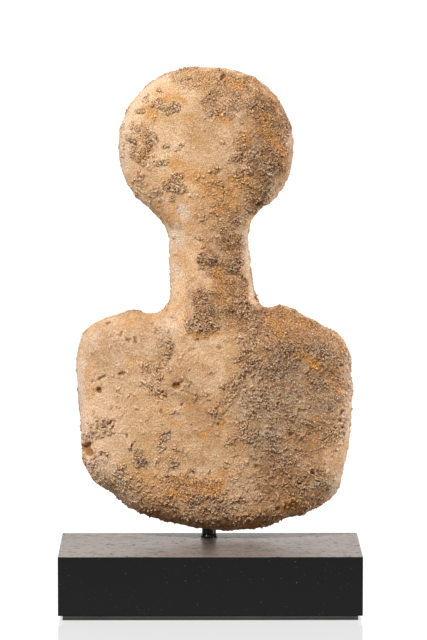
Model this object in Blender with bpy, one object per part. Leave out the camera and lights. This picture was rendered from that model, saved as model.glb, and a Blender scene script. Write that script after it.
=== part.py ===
"""A flat marble idol with a disc head, carried by a short black rod on a black block.

Metres, +Z up. The origin is the centre of the underside, +X is to the viewer's right and -Y faces the viewer.
"""

import math

import bmesh
import bpy
import numpy as np
from mathutils import Vector, noise
from mathutils.geometry import delaunay_2d_cdt

# Block and pad
BASE_WIDTH = 0.100
BASE_DEPTH = 0.050
BASE_HEIGHT = 0.0196
BASE_EDGE = 0.00025
PAD_THICKNESS = 0.0013
PAD_INSET = 0.0015

# Rod: its place on the block, its own sizes, and how deep its two blind holes are
ROD_RIGHT_OF_CENTRE = -0.0003
ROD_FROM_BACK = 0.00925
ROD_DIAMETER = 0.0048
ROD_FOOT_DIAMETER = 0.0058
ROD_FOOT_HEIGHT = 0.0011
ROD_CHAMFER = 0.0004
ROD_IN_BLOCK = 0.010
ROD_IN_IDOL = 0.024
ROD_SIDES = 32

# Figure
IDOL_HEIGHT = 0.1563
IDOL_ABOVE_BLOCK = 0.0022
BODY_THICKNESS = 0.0175
NECK_THICKNESS = 0.0178
HEAD_THICKNESS = 0.0150
CHEST_SWELL = 0.0012
LUMP_HEIGHT = 0.00035
LUMP_LENGTH = 0.011

# The clearance between pieces that fit or rest on one another
FIT_GAP = 0.0003

# The figure's outline is in hundredths of its height, from the foot of its own axis.
UNIT = IDOL_HEIGHT / 100.0

# Head disc: centre, half width, reach above and below the centre, and how square its round is
HEAD_CENTRE = (-0.6, 82.5)
HEAD_HALF_WIDTH = 18.7
HEAD_ABOVE = 17.5
HEAD_BELOW = 16.4
HEAD_SQUARENESS = 2.15
HEAD_ARC = (-42.0, 222.0)
HEAD_ARC_POINTS = 23

# From the head's lower left, down the neck, round the body and back up to the head's lower right
LEFT_NECK = [(-11.9, 68.9), (-9.7, 66.2), (-8.5, 62.9), (-8.2, 56.7), (-8.4, 49.6)]
LEFT_SHOULDER = [(-9.8, 47.7), (-12.5, 47.0), (-15.9, 47.9), (-20.3, 46.6), (-24.5, 45.3), (-26.7, 43.5)]
LEFT_FLANK = [(-28.2, 38.8), (-28.5, 34.6), (-27.9, 27.5), (-27.4, 20.5), (-27.0, 15.2), (-24.4, 10.6)]
UNDERSIDE = [(-20.4, 8.1), (-16.7, 4.9), (-11.7, 2.9), (-4.9, 1.0), (1.6, 0.0), (6.6, 0.1), (11.7, 0.7),
             (16.8, 2.4), (22.3, 4.9), (26.0, 6.6)]
RIGHT_FLANK = [(27.7, 8.4), (28.7, 12.2), (30.2, 19.5), (30.8, 27.3), (30.6, 33.7), (29.9, 39.2)]
RIGHT_SHOULDER = [(28.0, 42.5), (24.6, 44.3), (20.4, 46.7), (17.0, 48.2), (14.7, 48.6), (12.1, 48.2)]
RIGHT_NECK = [(10.4, 49.6), (9.6, 52.2), (9.0, 56.7), (8.4, 61.2), (8.4, 64.8), (10.0, 68.9)]

# Heights on the figure, in the same units, where one form passes into the next
SHOULDER_BLEND = (41.0, 52.0)
CHIN_BLEND = (64.0, 74.0)

# How far in from the outline the rim is still rounded over: body, neck, head
RIM_ROLLS = (5.2, 8.7, 6.4)

# Worn places that soften the front rim: centre, reach, and how much wider the rounding gets there
WORN_RIMS = [((-27.0, 42.5), 4.5, 3.4), ((27.5, 7.5), 4.0, 2.6), ((12.5, 72.5), 6.0, 2.2), ((-14.0, 6.0), 6.0, 1.8)]

# Mesh density of the figure, in the same units
OUTLINE_STEP = 2.1
GRID_STEP = 2.5
RIM_RINGS = 4

BLACK_LACQUER = ("black_lacquer", (0.022, 0.022, 0.022), 0.42, 0.0)
BLACK_STEEL = ("black_steel", (0.012, 0.011, 0.010), 0.22, 0.6)
DARK_FELT = ("dark_felt", (0.045, 0.043, 0.040), 0.95, 0.0)
CREAM_MARBLE = ("cream_marble", (0.56, 0.37, 0.21), 0.68, 0.0)


def clear_scene():
    for item in list(bpy.context.scene.objects):
        bpy.data.objects.remove(item, do_unlink=True)


def material(name, colour, roughness, metallic):
    made = bpy.data.materials.new(name)
    made.use_nodes = True
    shader = made.node_tree.nodes["Principled BSDF"]
    shader.inputs["Base Color"].default_value = (*colour, 1.0)
    shader.inputs["Roughness"].default_value = roughness
    shader.inputs["Metallic"].default_value = metallic
    made.diffuse_color = (*colour, 1.0)
    return made


def add_object(name, shape, place, look=None, smooth_below=None):
    """Links a bmesh as an object. Given an angle in degrees, it is shaded smooth up to that angle."""
    mesh = bpy.data.meshes.new(name)
    bmesh.ops.recalc_face_normals(shape, faces=shape.faces)
    shape.to_mesh(mesh)
    shape.free()
    if smooth_below is not None:
        mesh.shade_smooth()
        mesh.set_sharp_from_angle(angle=math.radians(smooth_below))
    made = bpy.data.objects.new(name, mesh)
    made.location = place
    bpy.context.scene.collection.objects.link(made)
    if look is not None:
        mesh.materials.append(look)
    return made


def cut_with(target, cutter):
    cutter.hide_render = True
    cutter.display_type = "WIRE"
    hole = target.modifiers.new("socket", "BOOLEAN")
    hole.operation = "DIFFERENCE"
    hole.solver = "EXACT"
    hole.object = cutter


def box(width, depth, height):
    """A box whose underside is centred on the origin."""
    shape = bmesh.new()
    bmesh.ops.create_cube(shape, size=1.0)
    bmesh.ops.scale(shape, vec=(width, depth, height), verts=shape.verts)
    bmesh.ops.translate(shape, vec=(0.0, 0.0, height / 2), verts=shape.verts)
    return shape


def turned(profile, sides):
    """A solid turned round Z from (radius, height) points that run upwards, closed flat at both ends."""
    shape = bmesh.new()
    rings = []
    for radius, height in profile:
        turn = [math.tau * side / sides for side in range(sides)]
        rings.append([shape.verts.new((radius * math.cos(a), radius * math.sin(a), height)) for a in turn])
    for lower, upper in zip(rings, rings[1:]):
        for side in range(sides):
            after = (side + 1) % sides
            shape.faces.new((lower[side], lower[after], upper[after], upper[side]))
    shape.faces.new(reversed(rings[0]))
    shape.faces.new(rings[-1])
    return shape


def smooth_step(low, high, value):
    share = np.clip((value - low) / (high - low), 0.0, 1.0)
    return share * share * (3.0 - 2.0 * share)


def head_arc():
    """The head's round, from its lower right over the top to its lower left."""
    power = 2.0 / HEAD_SQUARENESS
    points = []
    for degrees in np.linspace(*HEAD_ARC, HEAD_ARC_POINTS):
        across = math.cos(math.radians(degrees))
        up = math.sin(math.radians(degrees))
        reach = HEAD_ABOVE if up > 0 else HEAD_BELOW
        x = HEAD_CENTRE[0] + HEAD_HALF_WIDTH * math.copysign(abs(across) ** power, across)
        z = HEAD_CENTRE[1] + reach * math.copysign(abs(up) ** power, up)
        points.append((x, z))
    return points


def curve_through(points, step):
    """A closed centripetal Catmull-Rom curve through the points, read about every step."""
    read = []
    count = len(points)
    for index in range(count):
        p0, p1, p2, p3 = (np.array(points[(index + shift) % count]) for shift in (-1, 0, 1, 2))
        t1 = np.linalg.norm(p1 - p0) ** 0.5
        t2 = t1 + np.linalg.norm(p2 - p1) ** 0.5
        t3 = t2 + np.linalg.norm(p3 - p2) ** 0.5
        pieces = max(1, round(np.linalg.norm(p2 - p1) / step))
        for t in t1 + (t2 - t1) * np.arange(pieces) / pieces:
            a1 = p0 + (p1 - p0) * t / t1
            a2 = p1 + (p2 - p1) * (t - t1) / (t2 - t1)
            a3 = p2 + (p3 - p2) * (t - t2) / (t3 - t2)
            b1 = a1 + (a2 - a1) * t / t2
            b2 = a2 + (a3 - a2) * (t - t1) / (t3 - t1)
            read.append(b1 + (b2 - b1) * (t - t1) / (t2 - t1))
    return np.array(read)


def idol_outline():
    body = LEFT_NECK + LEFT_SHOULDER + LEFT_FLANK + UNDERSIDE + RIGHT_FLANK + RIGHT_SHOULDER + RIGHT_NECK
    return curve_through(head_arc() + body, OUTLINE_STEP)


def depth_inside(points, outline):
    """How far inside the closed outline each point lies, negative outside it."""
    start = outline
    along = np.roll(outline, -1, axis=0) - outline
    offset = points[:, None, :] - start[None]
    share = np.clip((offset * along).sum(2) / (along**2).sum(1), 0.0, 1.0)
    distance = np.linalg.norm(offset - share[..., None] * along, axis=2).min(axis=1)
    spans = (offset[..., 1] >= 0) != (offset[..., 1] - along[:, 1] >= 0)
    rise = np.where(along[:, 1] == 0.0, 1.0, along[:, 1])
    crossing_x = along[:, 0] * offset[..., 1] / rise
    inside = ((spans & (offset[..., 0] < crossing_x)).sum(axis=1) % 2).astype(bool)
    return np.where(inside, distance, -distance)


def front_and_back(points, depth):
    """Half thicknesses in metres towards the viewer and away, over (x, z) points in outline units."""
    x, z = points[:, 0], points[:, 1]
    body = 1.0 - smooth_step(*SHOULDER_BLEND, z)
    head = smooth_step(*CHIN_BLEND, z)
    neck = 1.0 - body - head
    thickness = body * BODY_THICKNESS + neck * NECK_THICKNESS + head * HEAD_THICKNESS
    roll = body * RIM_ROLLS[0] + neck * RIM_ROLLS[1] + head * RIM_ROLLS[2]
    worn_roll = roll.copy()
    for centre, reach, extra in WORN_RIMS:
        away = np.linalg.norm(points - centre, axis=1) / reach
        worn_roll += extra * np.exp(-(away**2))
    dome = 0.90 + 0.10 * smooth_step(0.0, 16.0, depth)
    chest = CHEST_SWELL * np.exp(-((x / 8.0) ** 2)) * smooth_step(28.0, 46.0, z) * (1.0 - smooth_step(50.0, 58.0, z))
    sides = []
    for rim, swell, seed in ((worn_roll, chest, 3.0), (roll, 0.0, 17.0)):
        round_over = np.sqrt(1.0 - (1.0 - np.clip(depth / rim, 0.0, 1.0)) ** 2)
        places = points * UNIT / LUMP_LENGTH
        lumps = np.array([noise.noise(Vector((place[0], seed, place[1]))) for place in places])
        sides.append(round_over * (thickness / 2 * dome + swell + LUMP_HEIGHT * lumps))
    return sides


def rim_rings(outline):
    """Points inside the outline, closer together towards the rim, where the surface turns fastest."""
    ahead = np.roll(outline, -1, axis=0) - np.roll(outline, 1, axis=0)
    inward = np.stack([-ahead[:, 1], ahead[:, 0]], axis=1)
    inward /= np.linalg.norm(inward, axis=1)[:, None]
    kept = []
    for ring in range(1, RIM_RINGS + 1):
        offset = RIM_ROLLS[0] * (1.0 - math.cos(math.pi / 2 * ring / (RIM_RINGS + 1)))
        points = outline + inward * offset
        kept.append(points[depth_inside(points, outline) > 0.9 * offset])
    return np.concatenate(kept), offset


def idol_shape():
    outline = idol_outline()
    rings, deepest = rim_rings(outline)
    low, high = outline.min(axis=0), outline.max(axis=0)
    across = np.arange(low[0], high[0], GRID_STEP)
    up = np.arange(low[1], high[1], GRID_STEP * math.sqrt(3) / 2)
    grid = np.array([(x + GRID_STEP / 2 * (row % 2), z) for row, z in enumerate(up) for x in across])
    grid = grid[depth_inside(grid, outline) > deepest + 0.5 * GRID_STEP]
    flat = [Vector(point) for point in np.concatenate([outline, rings, grid])]
    loop = [(index, (index + 1) % len(outline)) for index in range(len(outline))]
    points, _, triangles, _, _, _ = delaunay_2d_cdt(flat, loop, [], 1, 1e-4)
    points = np.array([tuple(point) for point in points])
    depth = np.abs(depth_inside(points, outline))
    depth[depth < 1e-3] = 0.0
    front, back = front_and_back(points, depth)
    shape = bmesh.new()
    near, far = [], []
    for (x, z), inside, ahead, behind in zip(points, depth, front, back):
        near.append(shape.verts.new((x * UNIT, -ahead, z * UNIT)))
        far.append(shape.verts.new((x * UNIT, behind, z * UNIT)) if inside > 0.0 else near[-1])
    for a, b, c in triangles:
        shape.faces.new((near[a], near[b], near[c]))
        shape.faces.new((far[c], far[b], far[a]))
    return shape


def rod_profile(block_top, idol_foot):
    """(radius, height) up the rod: chamfered end, shank in the block, flared foot bead, shank, chamfered end."""
    radius = ROD_DIAMETER / 2
    foot_radius = ROD_FOOT_DIAMETER / 2
    foot_low = block_top + FIT_GAP
    low = block_top - ROD_IN_BLOCK
    high = idol_foot + ROD_IN_IDOL
    return [
        (radius - ROD_CHAMFER, low),
        (radius, low + ROD_CHAMFER),
        (radius, foot_low),
        (foot_radius - 0.1 * ROD_FOOT_HEIGHT, foot_low),
        (foot_radius, foot_low + 0.25 * ROD_FOOT_HEIGHT),
        (foot_radius - 0.15 * ROD_FOOT_HEIGHT, foot_low + 0.6 * ROD_FOOT_HEIGHT),
        (radius, foot_low + ROD_FOOT_HEIGHT),
        (radius, high - ROD_CHAMFER),
        (radius - ROD_CHAMFER, high),
    ]


def socket_cutter(name, low, high, place):
    """A cutter for the rod's fit, between two heights over its place."""
    radius = ROD_DIAMETER / 2 + FIT_GAP
    return add_object(name, turned([(radius, low), (radius, high)], ROD_SIDES), place)


def build():
    clear_scene()
    block_foot = PAD_THICKNESS + FIT_GAP
    block_top = block_foot + BASE_HEIGHT
    idol_foot = block_top + IDOL_ABOVE_BLOCK
    rod_y = BASE_DEPTH / 2 - ROD_FROM_BACK
    axis = Vector((ROD_RIGHT_OF_CENTRE, rod_y, 0.0))

    add_object(
        "base_pad",
        box(BASE_WIDTH - 2 * PAD_INSET, BASE_DEPTH - 2 * PAD_INSET, PAD_THICKNESS),
        (0.0, 0.0, 0.0),
        material(*DARK_FELT),
    )

    block_shape = box(BASE_WIDTH, BASE_DEPTH, BASE_HEIGHT)
    bmesh.ops.bevel(
        block_shape, geom=list(block_shape.edges), offset=BASE_EDGE, segments=2, profile=0.5, affect="EDGES"
    )
    block = add_object("base_block", block_shape, (0.0, 0.0, block_foot), material(*BLACK_LACQUER), 30.0)
    clear_above = 0.002
    block_hole = socket_cutter(
        "block_hole", block_top - ROD_IN_BLOCK - FIT_GAP, block_top + clear_above, axis
    )
    cut_with(block, block_hole)

    rod_shape = turned(rod_profile(block_top, idol_foot), ROD_SIDES)
    add_object("mount_rod", rod_shape, axis, material(*BLACK_STEEL), 40.0)

    idol_place = axis + Vector((0.0, 0.0, idol_foot))
    idol = add_object("idol", idol_shape(), idol_place, material(*CREAM_MARBLE), 60.0)
    idol_hole = socket_cutter("idol_hole", -clear_above, ROD_IN_IDOL + FIT_GAP, idol_place)
    cut_with(idol, idol_hole)


build()
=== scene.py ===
"""Looks for the marble idol on its black mount: camera, studio, fine relief and surfaces. Metres, +Z up."""

import math

import bmesh
import bpy
import numpy as np
from mathutils import Euler, Matrix, Vector, noise


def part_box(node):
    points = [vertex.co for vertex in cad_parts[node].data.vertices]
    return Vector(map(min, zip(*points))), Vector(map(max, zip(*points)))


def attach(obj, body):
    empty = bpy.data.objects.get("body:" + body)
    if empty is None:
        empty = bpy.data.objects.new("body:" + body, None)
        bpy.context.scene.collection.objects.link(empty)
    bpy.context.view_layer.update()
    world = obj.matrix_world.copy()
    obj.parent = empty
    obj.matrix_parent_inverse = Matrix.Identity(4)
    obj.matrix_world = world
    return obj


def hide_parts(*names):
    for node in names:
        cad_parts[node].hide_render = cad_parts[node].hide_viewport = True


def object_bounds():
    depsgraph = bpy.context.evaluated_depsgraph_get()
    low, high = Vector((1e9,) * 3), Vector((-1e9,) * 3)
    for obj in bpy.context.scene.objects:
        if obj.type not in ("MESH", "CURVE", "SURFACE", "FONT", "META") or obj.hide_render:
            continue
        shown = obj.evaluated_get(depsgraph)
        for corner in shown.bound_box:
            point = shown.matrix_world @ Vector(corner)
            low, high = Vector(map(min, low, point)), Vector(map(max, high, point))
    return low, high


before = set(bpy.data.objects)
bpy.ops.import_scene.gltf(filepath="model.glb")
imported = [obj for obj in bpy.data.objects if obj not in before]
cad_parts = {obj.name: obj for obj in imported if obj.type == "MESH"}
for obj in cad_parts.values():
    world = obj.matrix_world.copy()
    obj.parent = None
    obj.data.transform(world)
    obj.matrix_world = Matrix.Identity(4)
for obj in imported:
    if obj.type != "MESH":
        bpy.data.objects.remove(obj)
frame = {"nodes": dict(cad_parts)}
cad_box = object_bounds()

MM = 0.001

# The photograph's frame, and the camera that took it
PHOTO_SIZE = (427, 640)
FOCAL_PIXELS = 4038.0
SENSOR = 36.0
CAMERA_PLACE = Vector((-5.5, -1330.3, 240.1)) * MM
CAMERA_DOWN = 6.16
CAMERA_RIGHT = 0.286
CLIP_START = 0.01

# Studio: the light of the room, the soft key light from the upper left, the rim light from the right, and the
# lit backdrop and floor
ROOM_LIGHT = 0.20
KEY_PLACE = (-0.56, -0.85, 1.15)
KEY_SIZE = 0.14
KEY_POWER = 34.0
RIM_PLACE = (1.10, -0.05, 0.35)
RIM_SIZE = 0.50
RIM_POWER = 13.0
LIGHTS_AIM = (0.0, 0.0, 0.10)
BACKDROP_HALF = 6.0
BACKDROP_AWAY = 2.0
BACKDROP_SINKS = 0.05
BACKDROP_GLOW = 1.15
FLOOR_HALF = 4.0
FLOOR_TONE = 0.18
FLOOR_NEAR_GLOW = 0.58
FLOOR_FAR_GLOW = 0.07
FLOOR_FADES = (-0.20, -0.08)

# The stone's mesh: its density before all its faces are split in four, and the rounds that soften it
STONE_CELL = 0.80 * MM
SOFTEN_ROUNDS = 10

# Faces that look forward this much are split again, from this strength of crust
FORWARD_ENOUGH = -0.10
CRUST_ENOUGH = 0.30

# Where the stone's pieces are parted: crust above the shoulders, left and right of the body's middle, and the
# faces that look this much to the back
SHOULDER_ROW = 322.0
BODY_COLUMN = 225.0
BACK_ENOUGH = 0.10
STONE_PIECES = ("marble_idol", "crust_head", "crust_left", "crust_right", "stone_back")

# The stone's socket: the rod's own half width and the room left round it, the plug that fills it while the
# mesh is evened out, and the drill that opens it again. Both start at a height over the stone's foot
ROD_RADIUS = 2.4 * MM
ROD_ROOM = 0.3 * MM
PLUG_WIDER = 0.8 * MM
PLUG_STARTS = 1.2 * MM
PLUG_ENDS = 1.5 * MM
DRILL_STARTS = -5.0 * MM
BAR_SIDES = 40

# The block's worn edges: how near its mesh's corners are merged, how far the edges are rounded, and the
# length and the angle in radians from which an edge is an outer one
MERGED_WITHIN = 0.001 * MM
EDGE_WEAR = 0.18 * MM
OUTER_EDGE = 10.0 * MM
SHARP_ANGLE = 1.0

# Lengths of the noise that shapes the stone's surface, and of the grains packed on it
WOBBLE_NOISE = 2.2 * MM
BROAD_NOISE = 9.0 * MM
MIDDLING_NOISE = 3.2 * MM
FINE_NOISE = 1.3 * MM
STAIN_NOISE = 6.0 * MM
COARSE_GRAIN = 1.15 * MM
MEDIUM_GRAIN = 0.85 * MM
TINY_GRAIN = 0.55 * MM
GRAIN_WARP = 0.55 * MM
TINY_WARP = 0.4

# A grain's middle, taken along this way and spread this much, gives the grain its number
PICK_WAY = (12.9898, 78.233, 37.719)
PICK_SPREAD = 4375.85

# How far the edges of small marks and of large ones stray from their strokes, and how far those of crust and
# of brown film and painted shade stray besides, in pixels
SMALL_STRAYS = 1.2
LARGE_STRAYS = 4.0
CRUST_STRAYS = 8.0
FILM_AND_SHADE_STRAYS = 18.0

# Heights of the stone's relief, in millimetres, and the rounds of evening out that tell hollow from proud
FRONT_SINKS = 0.14
BIG_CRUMB = 0.66
SMALL_CRUMB = 0.50
ODD_CRUMB = 0.45
LUMP_GRAIN = 0.74
LUMP_CRUMB = 0.36
PIT_DEPTH = 1.2
HOLLOW_ROUNDS = 6

# Strength of the crust round the rim and on the back, how much it varies there, and the brown film's strength
RIM_CRUST = 0.55
BACK_CRUST = 0.20
BACK_PATCHES = 0.60
BACK_FILM = 0.4

# Marks on the stone's front are strokes through the photograph's pixels: half width, strength, then points.
# Granular crust
CRUST = [
    # Head
    (12, 0.80, (184, 77), (215, 76), (250, 86)),
    (13, 0.85, (218, 100), (250, 96)),
    (15, 0.95, (252, 100), (278, 124)),
    (17, 0.90, (267, 128), (268, 154)),
    (8, 0.55, (246, 140), (244, 172)),
    (10, 0.75, (274, 120), (275, 165)),
    (14, 0.75, (262, 165), (255, 200)),
    (14, 0.50, (212, 186), (222, 198), (216, 222)),
    (9, 0.60, (136, 128), (140, 148)),
    (5, 0.50, (150, 163), (151, 169)),
    (10, 0.30, (140, 185), (155, 200)),
    # Neck
    (13, 0.80, (224, 212), (230, 246)),
    (11, 0.80, (208, 262), (236, 268)),
    (14, 0.90, (220, 284), (228, 312)),
    (6, 0.65, (243, 283), (246, 306)),
    (8, 0.80, (205, 298), (208, 328)),
    (7, 0.70, (192, 328), (214, 326)),
    # Body, left
    (8, 0.50, (168, 348), (150, 364)),
    (9, 0.45, (150, 366), (162, 390)),
    (6, 0.30, (156, 327), (158, 328)),
    (7, 0.42, (92, 436), (112, 424)),
    (12, 0.50, (97, 466), (112, 482), (128, 476)),
    (7, 0.50, (141, 458), (141, 459)),
    (7, 0.35, (164, 436), (172, 464)),
    # Body, right
    (16, 0.95, (240, 316), (268, 322)),
    (7, 1.00, (280, 312), (318, 326)),
    (6, 1.00, (272, 322), (282, 334)),
    (18, 0.85, (262, 334), (300, 332)),
    (16, 0.75, (300, 340), (335, 350)),
    (20, 0.80, (286, 352), (276, 376)),
    (18, 0.36, (276, 380), (272, 400)),
    (20, 0.65, (322, 368), (330, 425)),
    (8, 0.80, (268, 346), (246, 366)),
    (6, 0.60, (242, 372), (226, 400)),
    (5, 0.35, (224, 404), (217, 416)),
    (12, 0.35, (254, 396), (252, 425)),
    (18, 0.55, (280, 412), (300, 425)),
    (13, 0.65, (260, 446), (296, 452)),
    (10, 0.42, (238, 430), (233, 462)),
    (7, 0.45, (228, 470), (238, 486)),
    (5, 0.55, (346, 352), (350, 402)),
    (8, 0.50, (224, 392), (219, 416)),
    (18, 0.35, (262, 480), (312, 478)),
    # Foot
    (12, 0.55, (135, 490), (166, 494)),
    (11, 0.90, (178, 484), (215, 492)),
    (10, 0.40, (240, 502), (320, 498)),
    (8, 0.35, (150, 512), (275, 520)),
]

# Dark granular lumps
LUMPS = [
    # Head
    (2.4, 0.8, (147, 95), (144, 101)),
    (2.6, 0.6, (157, 93), (162, 88)),
    (4.0, 1.0, (159, 101), (155, 105)),
    (3.2, 1.0, (161, 107), (167, 108)),
    (4.4, 1.0, (172, 105), (177, 107)),
    (2.8, 0.8, (168, 113), (173, 111)),
    (3.2, 1.0, (138, 111), (142, 111)),
    (3.0, 0.5, (139, 122), (144, 125)),
    (2.6, 0.8, (137, 130), (146, 136), (150, 133)),
    (3.6, 1.0, (150, 140), (147, 147), (143, 153), (140, 158)),
    (3.2, 0.9, (133, 139), (134, 149), (132, 154)),
    (3.4, 1.0, (135, 157), (143, 163)),
    (2.6, 0.8, (163, 146), (168, 144)),
    (2.8, 0.9, (178, 148), (182, 144)),
    (3.4, 0.9, (155, 163), (166, 162)),
    (4.6, 1.0, (172, 179), (179, 176)),
    (3.6, 0.9, (178, 183), (186, 190)),
    (3.4, 1.0, (165, 183), (168, 189)),
    (4.2, 1.0, (172, 188), (181, 191)),
    (2.8, 0.9, (172, 195), (172, 199)),
    (3.4, 0.9, (212, 91), (206, 98)),
    (2.8, 0.8, (226, 113), (232, 117)),
    (4.0, 0.7, (252, 104), (254, 101)),
    (5.0, 0.6, (252, 148), (256, 156)),
    (3.4, 0.6, (272, 125), (280, 126)),
    # Neck
    (4.2, 0.9, (237, 222), (238, 223)),
    (3.8, 0.8, (228, 238), (231, 236)),
    (2.6, 0.8, (197, 237), (199, 239)),
    (3.4, 0.7, (202, 241), (203, 245)),
    (3.6, 0.9, (200, 259), (201, 266)),
    (4.0, 1.0, (211, 261), (217, 261)),
    (4.2, 1.0, (238, 260), (233, 270)),
    (2.6, 0.7, (240, 284), (246, 290)),
    (3.0, 0.7, (244, 302), (246, 306)),
    (3.0, 0.9, (207, 294), (204, 302)),
    (3.4, 0.9, (210, 308), (211, 312)),
    (4.6, 1.0, (212, 320), (214, 326)),
    (2.8, 0.9, (193, 324), (201, 327)),
    (2.6, 0.9, (195, 336), (196, 338)),
    # Body
    (3.0, 0.8, (172, 346), (168, 356)),
    (2.6, 0.6, (166, 360), (164, 366)),
    (2.4, 0.5, (149, 361), (152, 367)),
    (2.6, 0.6, (156, 370), (158, 374)),
    (2.4, 0.6, (163, 378), (165, 384)),
    (2.4, 0.9, (155, 393), (158, 394)),
    (2.4, 0.7, (163, 388), (165, 393)),
    (2.6, 0.6, (171, 412), (173, 411)),
    (3.2, 0.6, (163, 436), (168, 433)),
    (4.4, 1.0, (137, 452), (142, 462)),
    (2.8, 0.7, (90, 436), (92, 432)),
    (3.6, 0.7, (94, 465), (96, 471)),
    (3.4, 0.7, (104, 480), (112, 483)),
    (3.0, 0.6, (117, 475), (125, 473)),
    (2.6, 0.7, (124, 465), (124, 468)),
    (3.6, 0.8, (172, 462), (177, 463)),
    (2.8, 0.7, (166, 471), (166, 475)),
    (3.2, 0.9, (190, 500), (191, 507)),
    (3.0, 0.9, (197, 500), (200, 500)),
    (3.0, 0.7, (206, 508), (208, 509)),
    (4.0, 0.7, (318, 350), (328, 345)),
    (4.0, 0.8, (319, 378), (321, 383)),
    (4.0, 0.6, (290, 346), (298, 343)),
    (3.4, 0.6, (285, 333), (292, 329)),
    (4.0, 0.6, (273, 360), (276, 372)),
    (2.6, 0.8, (257, 358), (250, 364)),
    (2.4, 0.8, (245, 370), (240, 374)),
    (3.0, 0.6, (236, 384), (232, 391)),
    (2.8, 0.6, (228, 394), (223, 402)),
    (2.4, 0.5, (236, 396), (230, 402)),
    (3.4, 0.6, (284, 449), (286, 454)),
    (4.0, 0.7, (318, 484), (330, 486)),
]

# Brown film, and painted shade along the foot, where the body's underside turns from the light
BROWN_FILM_AND_SHADE = [
    (30, 0.88, (266, 100), (271, 162)),
    (22, 0.75, (245, 178), (248, 205)),
    (26, 0.35, (215, 115), (222, 160)),
    (18, 0.45, (218, 192), (208, 225)),
    (14, 0.90, (234, 210), (230, 245), (236, 290)),
    (16, 0.85, (222, 296), (236, 318)),
    (14, 0.90, (262, 316), (278, 316)),
    (20, 0.60, (196, 385), (205, 450)),
    (18, 0.30, (232, 372), (230, 440)),
    (38, 1.00, (302, 352), (298, 430)),
    (20, 0.55, (262, 378), (258, 446)),
    (34, 1.00, (270, 478), (306, 474)),
    (26, 0.55, (104, 340), (150, 334)),
    (15, 0.90, (212, 235), (210, 300)),
    (16, 0.55, (318, 440), (326, 480)),
    # The stroke along the foot is painted shade on the underside
    (16, 1.00, (158, 515), (180, 520), (215, 524), (262, 522), (306, 508)),
    (30, 0.34, (170, 504), (230, 504)),
    (26, 0.55, (250, 500), (290, 498)),
    (6, 0.70, (160, 214), (166, 224)),
]

# Iron stains
STAINS = [
    # Head
    (6.0, 0.9, (148, 108), (152, 117)),
    (4.5, 1.0, (167, 97), (181, 99)),
    (7.0, 0.4, (160, 92), (170, 90)),
    (5.5, 1.0, (175, 162), (176, 167)),
    (11.0, 0.75, (186, 172), (206, 182)),
    (8.0, 0.75, (230, 186), (244, 190)),
    (10.0, 0.5, (206, 186), (232, 202)),
    (5.0, 0.6, (211, 168), (217, 177)),
    (5.0, 0.9, (222, 115), (228, 122)),
    (5.0, 0.7, (228, 83), (242, 86)),
    (3.6, 1.0, (245, 131), (246, 144)),
    (6.0, 0.9, (238, 180), (246, 178)),
    (5.0, 0.6, (262, 118), (272, 140)),
    (3.0, 0.8, (280, 148), (284, 158)),
    (3.0, 0.8, (148, 150), (143, 156)),
    (3.0, 0.6, (154, 208), (158, 207)),
    (5.0, 0.6, (171, 207), (170, 219)),
    (6.0, 0.5, (226, 205), (216, 212)),
    # Neck and body
    (5.0, 0.5, (204, 243), (205, 247)),
    (7.0, 0.5, (218, 270), (224, 300)),
    (4.5, 0.8, (212, 333), (216, 334)),
    (3.0, 0.8, (190, 334), (203, 335)),
    (5.0, 0.75, (271, 321), (279, 328)),
    (5.0, 0.75, (279, 331), (281, 334)),
    (3.5, 0.8, (262, 354), (264, 357)),
    (4.0, 0.8, (296, 356), (308, 355)),
    (5.0, 1.0, (311, 360), (317, 366)),
    (3.0, 1.0, (315, 419), (315, 422)),
    (4.0, 0.4, (121, 325), (131, 324)),
    (8.0, 0.4, (132, 361), (138, 363)),
    (3.0, 0.5, (117, 399), (119, 404)),
    (2.2, 0.8, (134, 398), (135, 399)),
    (2.0, 0.9, (131, 416), (133, 418)),
    (2.0, 0.9, (205, 367), (206, 368)),
    (2.2, 1.0, (209, 423), (209, 425)),
    (2.2, 1.0, (219, 426), (220, 426)),
    (2.8, 1.0, (202, 436), (207, 433)),
    (2.6, 0.8, (187, 408), (194, 407)),
    (3.0, 0.6, (173, 425), (174, 426)),
    (4.0, 0.6, (157, 437), (160, 436)),
    (3.0, 1.0, (180, 476), (185, 475)),
    (7.0, 0.6, (174, 482), (200, 486)),
    (7.0, 0.7, (206, 491), (214, 489), (222, 484)),
    (4.0, 0.9, (218, 474), (224, 471)),
    (2.4, 1.0, (208, 477), (209, 478)),
    (4.0, 0.9, (172, 493), (190, 498)),
    (12.0, 0.4, (140, 482), (160, 486)),
    (6.0, 0.7, (286, 508), (295, 505)),
    (3.0, 0.7, (255, 467), (257, 466)),
]
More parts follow.
